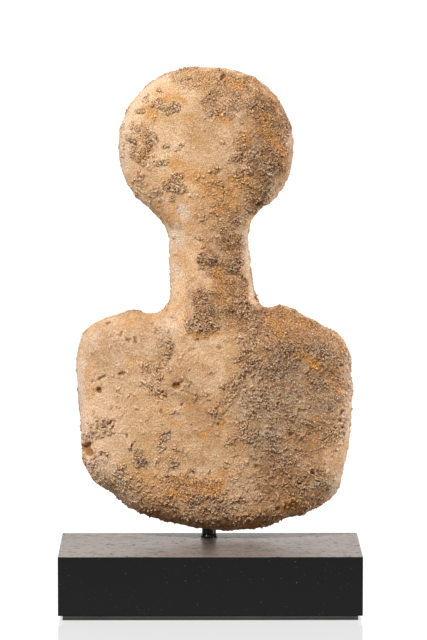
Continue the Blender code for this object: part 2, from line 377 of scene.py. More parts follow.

# Places where the pale stone shows through; the strokes along the outline's edges also paint rim light
PALE_AND_RIM_LIGHT = [
    (9, 0.6, (123, 122), (122, 168)),
    (6, 0.5, (130, 108), (150, 82), (175, 71)),
    (5, 0.70, (284, 108), (291, 145), (290, 172)),
    (5, 0.4, (286, 180), (272, 196), (258, 210)),
    (5, 0.9, (182, 208), (184, 216)),
    (7, 0.9, (173, 230), (180, 240)),
    (6, 0.35, (172, 245), (172, 300)),
    (5, 0.7, (175, 266), (176, 276)),
    (4, 1.0, (245, 232), (247, 262)),
    (3, 0.8, (250, 272), (254, 296)),
    (10, 0.5, (166, 326), (188, 318)),
    (2, 0.9, (162, 345), (164, 345)),
    (2, 0.9, (143, 350), (150, 347)),
    (4, 0.7, (97, 332), (93, 344)),
    (8, 0.5, (88, 340), (83, 356)),
    (3, 1.0, (198, 329), (205, 328)),
    (2, 1.0, (198, 256), (200, 255)),
    (2, 1.0, (206, 259), (206, 262)),
    # Along the body's left and right edges: pale stone and painted rim light
    (6, 0.9, (80, 362), (79, 404)),
    (6, 0.9, (82, 415), (83, 438)),
    (5, 0.9, (347, 345), (350, 380), (350, 405)),
    (5, 0.9, (346, 415), (345, 440)),
    (34, 0.22, (108, 356), (112, 420)),
    (14, 0.50, (92, 464), (128, 492)),
    (7, 0.7, (263, 437), (277, 434)),
    (5, 0.6, (268, 408), (274, 410)),
    (2, 0.9, (188, 519), (192, 516)),
    (2, 0.8, (205, 519), (207, 517)),
    (4, 0.8, (338, 474), (332, 495)),
]

# Grey film
GREY = [
    (6, 1.0, (256, 146), (255, 158)),
    (4, 0.8, (272, 128), (281, 126)),
    (4, 0.9, (233, 106), (236, 108)),
    (4, 0.8, (250, 105), (255, 102)),
    (3, 0.7, (244, 115), (246, 116)),
    (3, 1.0, (274, 170), (271, 179)),
    (3, 1.0, (267, 187), (264, 200)),
    (4, 0.6, (243, 196), (250, 196)),
    (3, 0.8, (246, 211), (244, 218)),
    (4, 0.9, (236, 221), (238, 224)),
    (4, 0.35, (200, 261), (217, 262)),
    (4, 0.4, (236, 262), (233, 272)),
    (4, 0.4, (211, 310), (213, 324)),
    (22, 0.8, (280, 370), (260, 392), (256, 408)),
    (16, 0.7, (292, 378), (300, 412)),
    (8, 1.0, (318, 350), (327, 354)),
    (6, 1.0, (320, 378), (321, 384)),
    (12, 0.6, (312, 415), (326, 402)),
    (10, 0.8, (256, 424), (259, 454)),
    (9, 0.8, (276, 443), (282, 456)),
    (6, 0.9, (316, 484), (331, 487)),
    (4, 0.7, (233, 485), (239, 484)),
    (6, 0.7, (139, 455), (142, 462)),
    (4, 0.6, (163, 435), (167, 434)),
    (4, 0.8, (174, 462), (177, 463)),
    (6, 0.25, (96, 466), (98, 470)),
    (7, 0.3, (104, 480), (114, 484)),
    (3, 0.8, (190, 501), (199, 500)),
    (8, 0.6, (216, 507), (236, 512)),
    (9, 0.9, (252, 404), (264, 398)),
    (8, 0.9, (254, 436), (280, 433)),
]

# Pits
PITS = [
    (1.6, 0.7, (107, 322), (109, 322)),
    (1.2, 0.4, (121, 332), (120, 336)),
    (1.6, 0.5, (127, 339), (129, 340)),
    (1.6, 0.4, (134, 339), (136, 342)),
    (3.6, 0.22, (133, 360), (140, 361)),
    (1.6, 0.6, (120, 374), (124, 374)),
    (1.4, 0.45, (103, 377), (105, 376)),
    (1.2, 0.4, (99, 380), (101, 378)),
    (1.4, 0.4, (92, 383), (93, 382)),
    (2.2, 1.0, (98.5, 390), (99, 391)),
    (2.5, 0.9, (175, 386), (178, 386)),
    (1.3, 0.4, (179, 385), (182, 382)),
    (2.6, 0.3, (190, 351), (193, 350)),
    (2.0, 0.4, (218, 348), (220, 348)),
    (2.6, 1.3, (83, 447), (88, 445)),
    (3.0, 1.2, (86, 449), (89, 453)),
    (2.0, 0.8, (222, 78), (224, 76)),
    (1.2, 0.7, (257, 205), (261, 203)),
    (1.4, 0.4, (104, 428), (110, 423)),
    (1.2, 0.4, (127, 435), (127, 437)),
    (1.6, 0.6, (312, 473), (314, 474)),
    (4.0, 0.4, (287, 507), (294, 506)),
    (2.0, 0.5, (277, 510), (278, 510)),
    (2.2, 0.5, (256, 467), (257, 467)),
    (1.2, 0.5, (299, 484), (300, 484)),
    (1.8, 0.5, (290, 434), (292, 434)),
    (2.0, 0.4, (299, 398), (301, 398)),
    (1.8, 0.5, (300, 411), (304, 411)),
    (1.2, 0.6, (278, 404), (279, 403)),
    (1.3, 0.6, (181, 405), (182, 405)),
    (1.2, 0.5, (218, 424), (218, 424.5)),
    (1.3, 0.4, (161, 411), (162, 413)),
    (1.3, 0.5, (339, 420), (341, 421)),
    (1.3, 0.5, (342, 412), (342, 414)),
    (1.2, 0.5, (342, 426), (343, 428)),
    (1.2, 0.5, (341, 366), (342, 365)),
]

# Raised lips, and grooves where the strength is negative: it is about the height in millimetres. Grooves also
# get painted shade in the stone's colour
RIDGES = [
    (2.0, 0.5, (262, 358), (255, 365), (247, 369), (240, 375)),
    (1.2, 0.4, (262, 364), (256, 372), (250, 376)),
    (2.2, 0.4, (242, 383), (237, 391), (235, 397), (229, 403), (223, 409), (219, 416)),
    (1.8, -0.15, (244, 386), (240, 394), (236, 401), (230, 407), (224, 413)),
    (2.2, 0.35, (240, 375), (234, 384), (228, 393)),
    (1.2, -0.5, (248, 364), (255, 364), (259, 361)),
    (1.8, -0.20, (241, 377), (248, 374), (256, 369), (262, 363)),
    (1.2, -0.5, (233, 387), (239, 384)),
    (1.3, -0.6, (251, 392), (261, 391)),
    (1.2, -0.4, (281, 378), (287, 374)),
    (1.2, 0.5, (305, 372), (309, 369), (314, 367), (318, 371)),
    (1.3, 0.6, (313, 350), (311, 354), (313, 356), (319, 356)),
    (1.0, 0.5, (284, 358), (287, 353)),
    (1.2, 0.5, (296, 442), (303, 435)),
    (1.2, 0.5, (281, 452), (286, 447)),
    (1.2, 0.5, (172, 414), (177, 410), (181, 405)),
    (1.2, 0.4, (154, 452), (162, 450)),
    (1.2, -0.3, (165, 449), (169, 446)),
    (1.1, 0.6, (129, 448), (131, 443), (134, 440)),
    (1.1, -0.6, (131, 450), (133, 444)),
    (1.2, 0.5, (132, 455), (134, 462), (137, 467)),
    (1.2, 0.45, (245, 464), (249, 457)),
    (1.2, 0.5, (282, 466), (285, 463)),
    (1.4, -0.9, (153, 131), (155, 136), (159, 142)),
    (1.1, 0.5, (151, 137), (154, 142)),
    (1.0, 0.5, (231, 181), (237, 177)),
    (1.4, -0.5, (294, 315), (297, 318), (303, 320)),
    (1.6, -0.5, (310, 322), (315, 327)),
    (1.6, -0.4, (274, 170), (271, 178), (267, 188), (264, 200)),
    (1.4, -0.35, (279, 184), (275, 190)),
    (1.1, -0.5, (242, 156), (243, 162)),
    (1.0, 0.5, (188, 520), (193, 516)),
    (1.0, 0.5, (203, 300), (206, 297)),
    (1.0, 0.5, (208, 313), (212, 310)),
    (4.0, -0.5, (258, 313), (267, 312)),
]

# Places where the stone's outline swells by the strength in millimetres, or shrinks where it is negative
SWELLS = [
    (9, 0.40, (168, 250), (168, 296)),
    (7, 0.45, (276, 309), (290, 309)),
    (7, 0.15, (250, 240), (250, 262)),
    (8, 0.15, (262, 208), (268, 202)),
    (9, 0.15, (232, 70), (266, 86)),
    (7, 0.40, (120, 502), (128, 507)),
    (7, 0.45, (303, 512), (312, 508)),
    (6, -0.45, (276, 522), (290, 519)),
]

# Colours, linear: the stone and its crusts, and the painted shade and highlight on its relief
HONEY = (0.54, 0.325, 0.160)
CREAM = (0.66, 0.437, 0.258)
# Painted highlight on the relief's raised tops
PEACH_HIGHLIGHT = (0.72, 0.50, 0.34)
UMBER = (0.215, 0.095, 0.035)
TAN = (0.44, 0.235, 0.112)
SLATE = (0.235, 0.150, 0.092)
# Painted shade, with the crust's dark dirt, for the relief's hollows and grooves
SOOT_AND_SHADE = (0.145, 0.062, 0.021)
ASH = (0.48, 0.375, 0.245)
RUST = (0.52, 0.225, 0.050)
# Amber flecks in the crust, and the painted highlight on raised tops in the stains
AMBER_FLECK_AND_HIGHLIGHT = (0.92, 0.53, 0.22)
OCHRE = (0.23, 0.090, 0.017)
CHALK = (0.62, 0.475, 0.36)

# What the finest grain of the plain stone and of the crust multiplies them by
DEEPER = (0.78, 0.71, 0.63)
LIGHTER = (1.13, 1.18, 1.26)
DEEPEST = (0.56, 0.46, 0.37)
LIGHTEST = (1.36, 1.46, 1.58)

# The mount
LACQUER = (0.010, 0.010, 0.010)
# Dust on the block, which on its top also paints the sheen
DUST_AND_SHEEN = (0.182, 0.146, 0.123)
STEEL = (0.006, 0.005, 0.004)
STEEL_LIGHTER = (0.016, 0.014, 0.012)
FELT = (0.045, 0.042, 0.038)
FELT_LIGHTER = (0.12, 0.113, 0.10)
FELT_LIGHTER_ABOVE = (0.20, 0.18, 0.155)


def smooth_step(low, high, value):
    share = np.clip((value - low) / (high - low), 0.0, 1.0)
    return share * share * (3.0 - 2.0 * share)


def at_least(least, share):
    """A share from 0 to 1 brought up to between a least value and 1."""
    return least + (1.0 - least) * share


# Camera

def camera_turn():
    return Euler((math.radians(90.0 - CAMERA_DOWN), 0.0, math.radians(-CAMERA_RIGHT)), "XYZ")


def add_camera():
    data = bpy.data.cameras.new("camera")
    data.sensor_width = SENSOR
    data.lens = FOCAL_PIXELS * SENSOR / max(PHOTO_SIZE)
    data.clip_start = CLIP_START
    camera = bpy.data.objects.new("camera", data)
    camera.location = CAMERA_PLACE
    camera.rotation_euler = camera_turn()
    bpy.context.scene.collection.objects.link(camera)
    bpy.context.scene.camera = camera


def photo_places(points):
    """Where points in space fall in the photograph, in pixels."""
    turn = np.array(camera_turn().to_matrix())
    seen = (points - np.array(CAMERA_PLACE)) @ turn
    scale = FOCAL_PIXELS / -seen[:, 2]
    columns = PHOTO_SIZE[0] / 2 + seen[:, 0] * scale
    rows = PHOTO_SIZE[1] / 2 - seen[:, 1] * scale
    return np.stack([columns, rows], axis=1)


# Studio

def add_area_light(name, place, size, power):
    data = bpy.data.lights.new(name, "AREA")
    data.shape = "DISK"
    data.size = size
    data.energy = power
    light = bpy.data.objects.new(name, data)
    light.location = place
    light.rotation_euler = (Vector(LIGHTS_AIM) - Vector(place)).to_track_quat("-Z", "Y").to_euler()
    bpy.context.scene.collection.objects.link(light)


def add_studio():
    scene = bpy.context.scene
    scene.view_settings.view_transform = "Standard"
    world = bpy.data.worlds.new("studio")
    world.use_nodes = True
    background = world.node_tree.nodes["Background"].inputs
    background["Color"].default_value = (1.0, 1.0, 1.0, 1.0)
    background["Strength"].default_value = ROOM_LIGHT
    scene.world = world
    add_area_light("key", KEY_PLACE, KEY_SIZE, KEY_POWER)
    add_area_light("rim", RIM_PLACE, RIM_SIZE, RIM_POWER)

    shape = bmesh.new()
    bmesh.ops.create_grid(shape, x_segments=1, y_segments=1, size=FLOOR_HALF)
    link_mesh("floor", shape, floor_material())
    shape = bmesh.new()
    upright = Matrix.Rotation(math.radians(90.0), 4, "X")
    stands = Matrix.Translation((0.0, BACKDROP_AWAY, BACKDROP_HALF - BACKDROP_SINKS)) @ upright
    bmesh.ops.create_grid(shape, x_segments=1, y_segments=1, size=BACKDROP_HALF, matrix=stands)
    link_mesh("backdrop", shape, backdrop_material())


# Mesh building

def link_mesh(name, shape, material):
    mesh = bpy.data.meshes.new(name)
    shape.to_mesh(mesh)
    shape.free()
    mesh.materials.append(material)
    made = bpy.data.objects.new(name, mesh)
    bpy.context.scene.collection.objects.link(made)
    return made


def vectors(items, name):
    """A vector that each of a mesh's vertices, faces or attribute values has, as rows."""
    found = np.empty(len(items) * 3)
    items.foreach_get(name, found)
    return found.reshape(-1, 3)


def applied(maker, modifiers):
    """The mesh that an object's modifiers make, as (kind, settings) pairs applied to a copy."""
    for kind, settings in modifiers:
        added = maker.modifiers.new(kind.lower(), kind)
        for key, value in settings.items():
            setattr(added, key, value)
    graph = bpy.context.evaluated_depsgraph_get()
    mesh = bpy.data.meshes.new_from_object(maker.evaluated_get(graph))
    bpy.data.objects.remove(maker)
    return mesh


def rod_axis():
    low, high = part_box("mount_rod")
    return (low + high) / 2


def split_faces(shape, chosen):
    """Splits faces in four."""
    edges = {edge for face in chosen for edge in face.edges}
    bmesh.ops.subdivide_edges(shape, edges=list(edges), cuts=1, use_grid_fill=True)
    bmesh.ops.triangulate(shape, faces=[face for face in shape.faces if len(face.verts) > 4])
    shape.normal_update()


def round_bar(shape, radius, low, high):
    """Adds a capped bar along the rod's axis, between two heights."""
    axis = rod_axis()
    sizes = {"segments": BAR_SIDES, "radius1": radius, "radius2": radius, "depth": high - low}
    bar = bmesh.ops.create_cone(shape, cap_ends=True, **sizes)
    bmesh.ops.translate(shape, vec=(axis.x, axis.y, (low + high) / 2), verts=bar["verts"])


def even_stone(node):
    """The carved stone as the frame has it, as an even mesh. Its socket is filled before the mesh is evened
    out, and opened again after."""
    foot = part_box("idol")[0].z
    rod_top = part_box("mount_rod")[1].z
    shape = bmesh.new()
    shape.from_mesh(node.data)
    round_bar(shape, ROD_RADIUS + PLUG_WIDER, foot + PLUG_STARTS, rod_top + PLUG_ENDS)
    rough = link_mesh("stone_blank", shape, bpy.data.materials.new("blank"))
    shape = bmesh.new()
    round_bar(shape, ROD_RADIUS + ROD_ROOM, foot + DRILL_STARTS, rod_top + ROD_ROOM)
    drill = link_mesh("socket_drill", shape, rough.data.materials[0])
    even = applied(rough, [
        ("REMESH", {"mode": "VOXEL", "voxel_size": STONE_CELL}),
        ("SMOOTH", {"factor": 0.5, "iterations": SOFTEN_ROUNDS}),
        ("BOOLEAN", {"operation": "DIFFERENCE", "solver": "EXACT", "object": drill}),
    ])
    bpy.data.objects.remove(drill)
    return even


def stone_blank(node):
    """The stone's mesh before its relief, finer where it carries crust."""
    even = even_stone(node)
    shape = bmesh.new()
    shape.from_mesh(even)
    bpy.data.meshes.remove(even)
    shape.normal_update()
    split_faces(shape, shape.faces[:])
    centres = np.array([face.calc_center_median() for face in shape.faces])
    normals = np.array([face.normal for face in shape.faces])
    crusted = encrusted(centres, normals)
    split_faces(shape, [face for face, has_crust in zip(shape.faces, crusted) if has_crust])
    return shape


# Marks and noise

def seed_shift(seed):
    """How far a seed moves away in the endless noise."""
    return Vector((seed, seed * 1.7, seed * 0.3))


def fractal(points, length, octaves, seed):
    """Layered noise, about -1 to 1, over points in metres."""
    shift = seed_shift(seed)
    return np.array([noise.fractal(Vector(point) / length + shift, 1.0, 2.0, octaves) for point in points])


def granules(points, length, seed):
    """Rounded grains about one length across, as 1 at their middles and 0 in the seams, and a number from 0
    to 1 that is the same all over a grain."""
    shift = seed_shift(seed)
    found = [noise.voronoi(Vector(point) / length + shift) for point in points]
    gap = np.array([distances[1] - distances[0] for distances, _ in found])
    middles = np.array([middles[0] for _, middles in found])
    pick = np.modf(np.abs(np.sin(middles @ PICK_WAY)) * PICK_SPREAD)[0]
    inside = np.clip(gap * 1.3, 0.0, 1.0)
    return inside * (2.0 - inside), pick


def stroke_distance(places, route):
    nearest = np.full(len(places), np.inf)
    for start, end in zip(route, route[1:]):
        start, along = np.array(start, float), np.subtract(end, start).astype(float)
        share = np.clip((places - start) @ along / (along @ along), 0.0, 1.0)
        nearest = np.minimum(nearest, np.linalg.norm(places - start - share[:, None] * along, axis=1))
    return nearest


def marks(places, strokes, edge):
    """The strongest stroke at each place, fading over a share of its half width."""
    found = np.zeros(len(places))
    for half_width, strength, *route in strokes:
        reach = half_width * (1.0 + edge)
        low, high = np.min(route, axis=0) - reach, np.max(route, axis=0) + reach
        near = np.flatnonzero(((places > low) & (places < high)).all(axis=1))
        away = stroke_distance(places[near], route) / half_width
        faded = strength * (1.0 - smooth_step(1.0 - edge, 1.0 + edge, away))
        found[near] = np.maximum(found[near], faded)
    return found


def strayed(points):
    """Where points fall in the photograph, straying a little and straying more, so that no mark's edge runs
    straight, and how far large marks stray besides."""
    places = photo_places(points)
    wobble = [fractal(points, WOBBLE_NOISE, 3, seed) for seed in (5.0, 9.0)]
    wobble = np.stack(wobble, axis=1)
    drift = [fractal(points, BROAD_NOISE, 4, 21.0), fractal(points, MIDDLING_NOISE, 4, 31.0)]
    drift = np.stack(drift, axis=1)
    return places + SMALL_STRAYS * wobble, places + LARGE_STRAYS * wobble, drift


def crust_marks(ragged, drift):
    return marks(ragged + CRUST_STRAYS * drift, CRUST, edge=0.6)


def encrusted(centres, normals):
    """Which places on the stone's front carry crust or lumps."""
    nearly, ragged, drift = strayed(centres)
    strength = np.maximum(crust_marks(ragged, drift), marks(nearly, LUMPS, edge=1.0))
    return (strength > CRUST_ENOUGH) & (normals[:, 1] < FORWARD_ENOUGH)


# Relief

class StoneSurface:
    """What covers the stone at each vertex of its mesh, and how high it stands there in millimetres."""

    def __init__(self, points, normals):
        self.points = points
        self.facing = smooth_step(-0.05, 0.25, -normals[:, 1])
        self.nearly, self.ragged, self.drift = strayed(points)
        self.broad, self.middling = self.drift.T
        self.fine = fractal(points, FINE_NOISE, 3, 41.0)
        warped = points + GRAIN_WARP * np.stack([self.fine, self.middling, -self.fine], axis=1)
        self.coarse, self.coarse_pick = granules(warped, COARSE_GRAIN, 3.0)
        self.medium, self.medium_pick = granules(warped, MEDIUM_GRAIN, 7.0)
        self.tiny, self.tiny_pick = granules(points + TINY_WARP * (warped - points), TINY_GRAIN, 13.0)

        rim = 1.0 - smooth_step(0.45, 0.85, np.abs(normals[:, 1]))
        back = np.clip(BACK_CRUST + BACK_PATCHES * self.broad, 0.0, 1.0)
        behind = rim * RIM_CRUST + (1.0 - rim) * back
        field = self.facing * crust_marks(self.ragged, self.drift) + (1.0 - self.facing) * behind
        self.crust = np.clip(field + 0.25 * self.middling + 0.10 * self.broad, 0.0, 1.0)

        lumps = self.facing * marks(self.nearly, LUMPS, edge=0.5)
        lumps = np.maximum(lumps, 0.7 * smooth_step(0.35, 0.8, self.middling + 0.3 * self.fine) * self.crust)
        uneven = 0.25 + 0.5 * self.coarse_pick + 0.3 * np.abs(self.fine)
        self.clump = smooth_step(-0.15, 0.25, lumps - uneven)
        self.pit = self.facing * PIT_DEPTH * marks(self.nearly, PITS, edge=0.8)

    def masks(self):
        """What the stone's colours read, by name."""
        # The brown strokes hold film, and along the foot painted shade
        film_and_shade_share = marks(self.ragged + FILM_AND_SHADE_STRAYS * self.drift, BROWN_FILM_AND_SHADE, edge=0.8)
        clouds = smooth_step(0.35, 0.75, fractal(self.points, STAIN_NOISE, 4, 51.0))
        return {
            "crust": self.crust,
            "clump": self.clump,
            "film_and_shade": self.facing * film_and_shade_share + (1.0 - self.facing) * BACK_FILM,
            "stain": np.maximum(self.facing * marks(self.ragged, STAINS, edge=0.7), 0.5 * clouds),
            "pale_and_rim_light": self.facing * marks(self.ragged, PALE_AND_RIM_LIGHT, edge=0.7),
            "grey": self.facing * marks(self.ragged, GREY, edge=0.7),
            "pit": smooth_step(0.15, 0.9, self.pit),
        }

    def crumbs(self):
        """The height of the crust's crumbs and of its lumps."""
        patchy = smooth_step(-0.45, 0.45, self.broad + 0.5 * self.middling)
        grown = smooth_step(-0.12, 0.12, self.crust - self.medium_pick)
        loose = BIG_CRUMB * self.medium * at_least(0.20, self.medium_pick)
        loose += SMALL_CRUMB * self.tiny * at_least(0.15, self.tiny_pick)
        loose += ODD_CRUMB * self.coarse * smooth_step(0.55, 0.85, self.coarse_pick)
        ground = 0.12 * patchy + 0.25 * self.middling + at_least(0.55, patchy) * loose
        lumps = LUMP_GRAIN * self.coarse * at_least(0.4, self.coarse_pick)
        lumps += LUMP_CRUMB * self.tiny * self.tiny_pick
        return at_least(0.6, self.facing) * grown * ground + at_least(0.4, self.facing) * self.clump * lumps

    def relief(self):
        """The whole surface's height, and where its grooves are."""
        height = 0.12 * self.broad + 0.06 * self.middling + 0.04 * self.fine + 0.10 * self.medium
        height += self.crumbs() - FRONT_SINKS * self.facing - self.pit
        places = photo_places(self.points)
        for half_width, rise, *route in SWELLS:
            height += rise * np.exp(-((stroke_distance(places, route) / half_width) ** 2))
        groove = np.zeros(len(self.points))
        for half_width, rise, *route in RIDGES:
            near = self.facing * np.exp(-((stroke_distance(self.nearly, route) / half_width) ** 2))
            height += rise * near * (0.7 + 1.5 * self.fine)
            # A groove is also painted in shade through the hollow mask
            if rise < 0:
                groove = np.maximum(groove, 0.7 * near * -rise)
        return height, groove


def off_socket(points):
    """0 in the socket's mouth and 1 from a little way round it, where the relief may start."""
    axis = rod_axis()
    from_axis = np.hypot(points[:, 0] - axis.x, points[:, 1] - axis.y)
    return smooth_step(ROD_RADIUS + 1.5 * ROD_ROOM, ROD_RADIUS + 5.0 * ROD_ROOM, from_axis)


def neighbour_mean(values, edges, rounds):
    """Values evened out over the mesh's edges."""
    count = np.bincount(edges.ravel(), minlength=len(values))
    for _ in range(rounds):
        total = np.bincount(edges[:, 0], values[edges[:, 1]], len(values))
        total += np.bincount(edges[:, 1], values[edges[:, 0]], len(values))
        values = 0.5 * values + 0.5 * total / np.maximum(count, 1)
    return values


def carve(mesh):
    """Moves the stone's surface to its fine relief and leaves the masks that its colours read."""
    points, normals = vectors(mesh.vertices, "co"), vectors(mesh.vertices, "normal")
    edges = np.empty(len(mesh.edges) * 2, np.int64)
    mesh.edges.foreach_get("vertices", edges)
    surface = StoneSurface(points, normals)
    height, groove = surface.relief()
    height *= off_socket(points)
    hollow = neighbour_mean(height, edges.reshape(-1, 2), HOLLOW_ROUNDS) - height
    moved = points + normals * (height * MM)[:, None]
    mesh.vertices.foreach_set("co", moved.ravel())
    mesh.update()
    masks = surface.masks()
    # hollow: where the stone is painted in shade, in its hollows and grooves, with the crust's dark dirt
    masks["hollow"] = np.maximum(smooth_step(0.03, 0.17, hollow), groove)
    # proud: the raised tops, which get a painted highlight
    masks["proud"] = smooth_step(0.05, 0.22, -hollow)
    for name, values in masks.items():
        mesh.attributes.new(name, "FLOAT", "POINT").data.foreach_set("value", values.astype(np.float32))


# Pieces

def crust_share(mesh):
    """Which piece each face of the stone belongs to, as a place in the list of their names."""
    centres, normals = vectors(mesh.polygons, "center"), vectors(mesh.polygons, "normal")
    columns, rows = photo_places(centres).T
    crust_part = np.where(rows < SHOULDER_ROW, 1, np.where(columns < BODY_COLUMN, 2, 3))
    plain_part = np.where(normals[:, 1] > BACK_ENOUGH, 4, 0)
    return np.where(encrusted(centres, normals), crust_part, plain_part)


def parted(whole, shares, names, material):
    """Parts a mesh by its faces' numbers, and keeps the whole mesh's smooth normals across the cuts."""
    normals = vectors(whole.vertices, "normal")
    whole.attributes.new("whole_normal", "FLOAT_VECTOR", "POINT").data.foreach_set("vector", normals.ravel())
    pieces = []
    for number, name in enumerate(names):
        shape = bmesh.new()
        shape.from_mesh(whole)
        others = [face for face, share in zip(shape.faces, shares) if share != number]
        bmesh.ops.delete(shape, geom=others, context="FACES")
        piece = link_mesh(name, shape, material)
        piece.data.shade_smooth()
        normals = vectors(piece.data.attributes["whole_normal"].data, "vector")
        piece.data.normals_split_custom_set_from_vertices(normals.tolist())
        pieces.append(piece)
    return pieces


def idol_pieces(frame):
    whole = bpy.data.meshes.new("whole_stone")
    stone_blank(frame["nodes"]["idol"]).to_mesh(whole)
    carve(whole)
    for piece in parted(whole, crust_share(whole), STONE_PIECES, marble_material()):
        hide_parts("idol")
        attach(piece, "root")
    bpy.data.meshes.remove(whole)


def is_outer(edge):
    return edge.calc_length() > OUTER_EDGE and edge.calc_face_angle(0.0) > SHARP_ANGLE


def block_piece(frame):
    """The block with its outer edges worn round."""
    shape = bmesh.new()
    shape.from_mesh(frame["nodes"]["base_block"].data)
    bmesh.ops.remove_doubles(shape, verts=shape.verts, dist=MERGED_WITHIN)
    outer = [edge for edge in shape.edges if is_outer(edge)]
    bmesh.ops.bevel(shape, geom=outer, offset=EDGE_WEAR, segments=3, profile=0.5, affect="EDGES")
    piece = link_mesh("worn_block", shape, lacquer_material())
    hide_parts("base_block")
    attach(piece, "root")


# Surfaces

class Surface:
    """A material's nodes, wired one call at a time. Lengths are in metres over the object."""

    def __init__(self, name, roughness, ior=1.5, specular=0.5):
        self.material = bpy.data.materials.new(name)
        self.material.use_nodes = True
        self.tree = self.material.node_tree
        self.shader = self.tree.nodes["Principled BSDF"]
        self.shader.inputs["Roughness"].default_value = roughness
        self.shader.inputs["Specular IOR Level"].default_value = specular
        self.shader.inputs["IOR"].default_value = ior
        self.place = self.tree.nodes.new("ShaderNodeTexCoord").outputs["Object"]

    def add(self, kind, inputs, **settings):
        node = self.tree.nodes.new("ShaderNode" + kind)
        for key, value in settings.items():
            setattr(node, key, value)
        for key, value in inputs.items():
            self.feed(node.inputs[key], value)
        return node

    def feed(self, socket, value):
        if isinstance(value, bpy.types.NodeSocket):
            self.tree.links.new(value, socket)
        elif isinstance(value, tuple) and socket.type == "RGBA":
            socket.default_value = (*value, 1.0)
        else:
            socket.default_value = value

    def mask(self, name):
        return self.add("Attribute", {}, attribute_name=name).outputs["Fac"]

    def stretched(self, stretch):
        return self.add("Mapping", {"Vector": self.place, "Scale": stretch}).outputs["Vector"]

    def noise(self, length, detail=3.0, rough=0.55, stretch=(1.0, 1.0, 1.0)):
        place = self.stretched(stretch)
        inputs = {"Vector": place, "Scale": 1.0 / length, "Detail": detail, "Roughness": rough}
        return self.add("TexNoise", inputs).outputs["Fac"]

    def warped(self, length, amount):
        """Places over the object, pushed about by noise."""
        push = self.add("TexNoise", {"Vector": self.place, "Scale": 1.0 / length}).outputs["Color"]
        inputs = {0: push, 1: (amount, amount, amount), 2: self.place}
        return self.add("VectorMath", inputs, operation="MULTIPLY_ADD").outputs["Vector"]

    def grain_number(self, place, length):
        """A number for each of many packed grains."""
        found = self.add("TexVoronoi", {"Vector": place, "Scale": 1.0 / length}).outputs["Color"]
        return self.add("SeparateColor", {"Color": found}).outputs["Red"]

    def band(self, value, low, high, low_out=0.0, high_out=1.0):
        inputs = {"Value": value, "From Min": low, "From Max": high, "To Min": low_out, "To Max": high_out}
        return self.add("MapRange", inputs, interpolation_type="SMOOTHSTEP").outputs["Result"]

    def maths(self, operation, first, second):
        node = self.add("Math", {}, operation=operation)
        self.feed(node.inputs[0], first)
        self.feed(node.inputs[1], second)
        return node.outputs["Value"]

    def times(self, first, second):
        return self.maths("MULTIPLY", first, second)

    def mix(self, share, first, second, blend="MIX"):
        node = self.add("Mix", {}, data_type="RGBA", blend_type=blend)
        self.feed(node.inputs["Factor"], share)
        self.feed(node.inputs[6], first)
        self.feed(node.inputs[7], second)
        return node.outputs[2]

    def colour(self, value):
        self.feed(self.shader.inputs["Base Color"], value)

    def roughness(self, value):
        self.feed(self.shader.inputs["Roughness"], value)

    def glow(self, value):
        self.feed(self.shader.inputs["Emission Color"], value)
        self.shader.inputs["Emission Strength"].default_value = 1.0

    def bump(self, height):
        """Shading relief from a height in metres."""
        node = self.add("Bump", {"Height": height, "Strength": 1.0, "Distance": 1.0})
        self.feed(self.shader.inputs["Normal"], node.outputs["Normal"])


